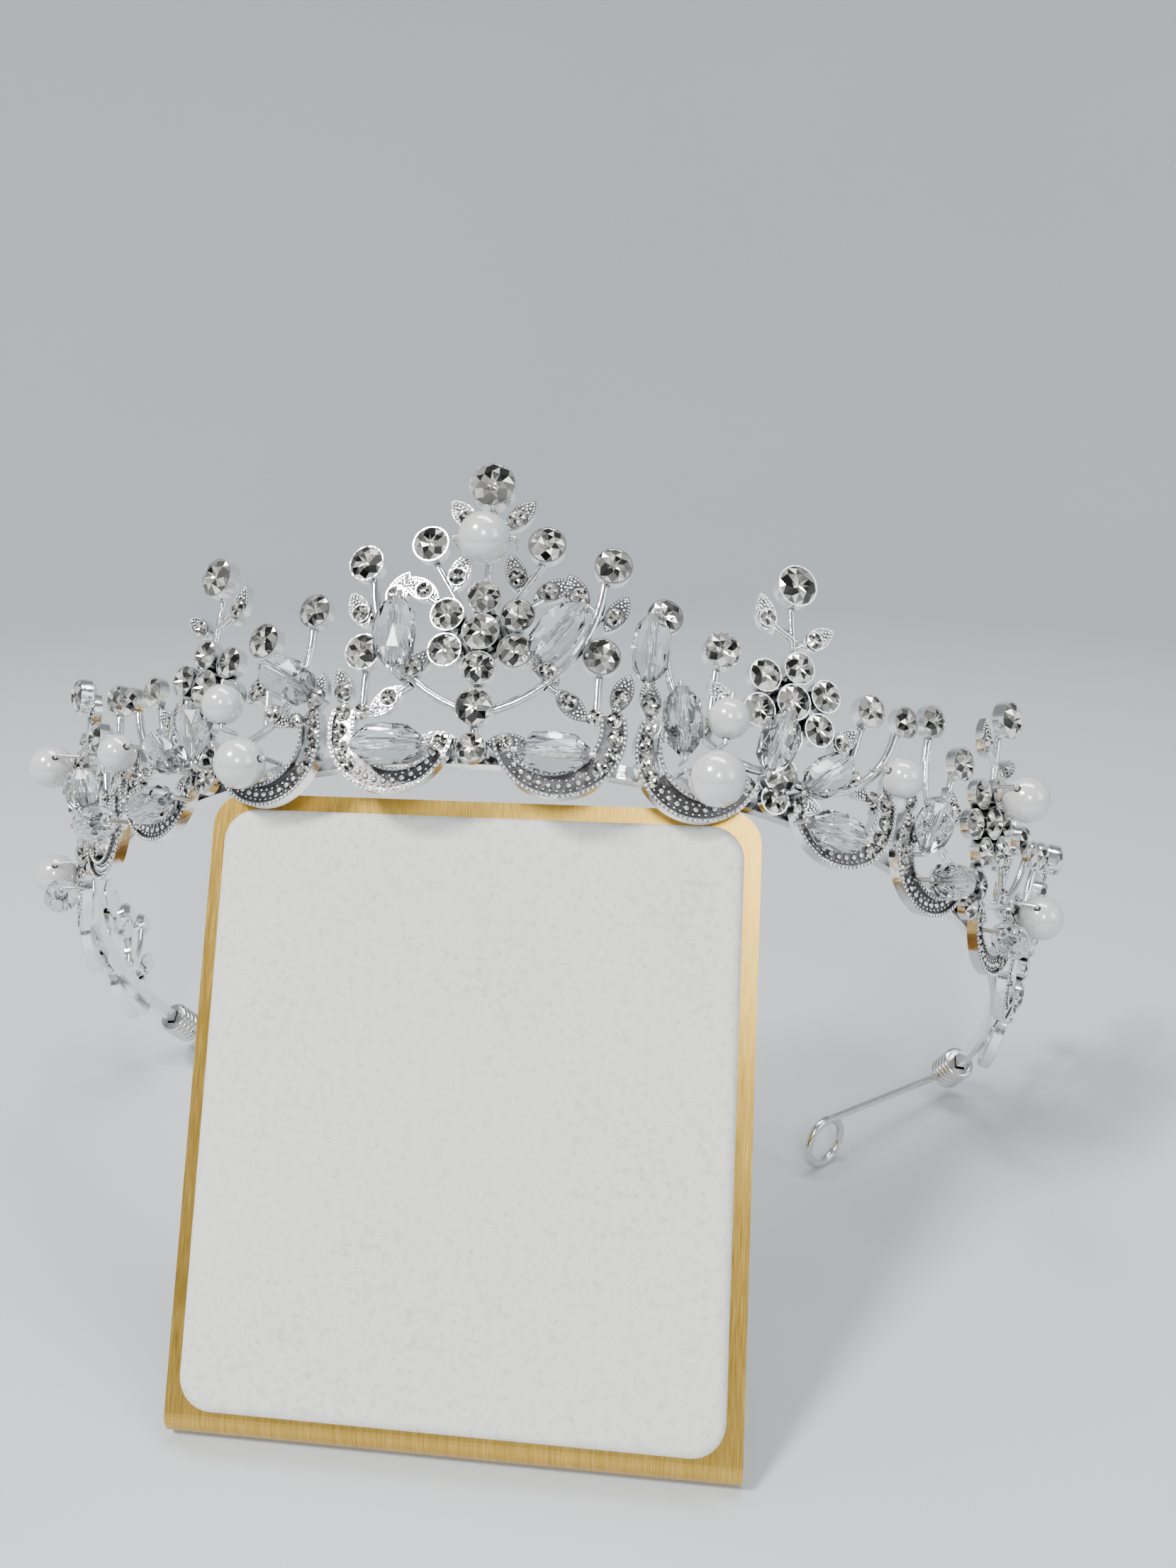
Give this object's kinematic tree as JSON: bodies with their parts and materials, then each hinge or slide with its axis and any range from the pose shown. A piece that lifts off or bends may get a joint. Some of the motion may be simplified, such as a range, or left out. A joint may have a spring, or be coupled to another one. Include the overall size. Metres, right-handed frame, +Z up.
{
  "type": "diadem on a display stand",
  "caption": "Openwork silver diadem with pearls and cut crystals, hung over the top edge of a small leaning display stand with a velvet pad.",
  "frame": {"origin": "middle of the whole thing's box, on the surface that the stand's foot and the end rings rest on", "axes": "+X to the viewer's right, -Y towards the viewer in front of the pad, +Z up"},
  "size_m": [0.1764, 0.0988, 0.1147],
  "materials": {
    "stand_gold": "brushed gold-coloured sheet",
    "velvet": "off-white short-pile velvet",
    "silver_plate": "bright silver plate, slightly darkened in its recesses",
    "foiled_stone": "foil-backed clear cut stone",
    "pearl": "soft pearl gloss",
    "crystal": "clear polished facets",
    "fine_wire": "fine drawn wire"
  },
  "bodies": {
    "root": {"stand_plate": "stand_gold", "velvet_pad": "velvet", "headband": "silver_plate", "casting_middle": "silver_plate", "stones_middle": "foiled_stone", "crest_stone_middle": "foiled_stone", "casting_right_1": "silver_plate", "casting_right_2": "silver_plate", "casting_right_3": "silver_plate", "casting_left_1": "silver_plate", "casting_left_2": "silver_plate", "casting_left_3": "silver_plate", "stones_right_1": "foiled_stone", "stones_right_2": "foiled_stone", "stones_right_3": "foiled_stone", "stones_left_1": "foiled_stone", "stones_left_2": "foiled_stone", "stones_left_3": "foiled_stone", "crest_stone_right_1": "foiled_stone", "crest_stone_right_2": "foiled_stone", "crest_stone_right_3": "foiled_stone", "crest_stone_left_1": "foiled_stone", "crest_stone_left_2": "foiled_stone", "crest_stone_left_3": "foiled_stone", "pearl_1": "pearl", "pearl_2": "pearl", "pearl_3": "pearl", "pearl_4": "pearl", "pearl_5": "pearl", "pearl_6": "pearl", "pearl_7": "pearl", "pearl_8": "pearl", "pearl_9": "pearl", "pearl_10": "pearl", "pearl_11": "pearl", "crystal_1": "crystal", "crystal_2": "crystal", "crystal_3": "crystal", "crystal_4": "crystal", "crystal_5": "crystal", "crystal_6": "crystal", "crystal_7": "crystal", "crystal_8": "crystal", "crystal_9": "crystal", "crystal_10": "crystal", "crystal_11": "crystal", "crystal_12": "crystal", "crystal_13": "crystal", "crystal_14": "crystal", "crystal_15": "crystal", "crystal_16": "crystal", "crystal_17": "crystal", "crystal_18": "crystal", "crystal_19": "crystal", "binding_wire": "fine_wire", "end_loop_right": "silver_plate", "end_loop_left": "silver_plate"}
  },
  "joints": []
}
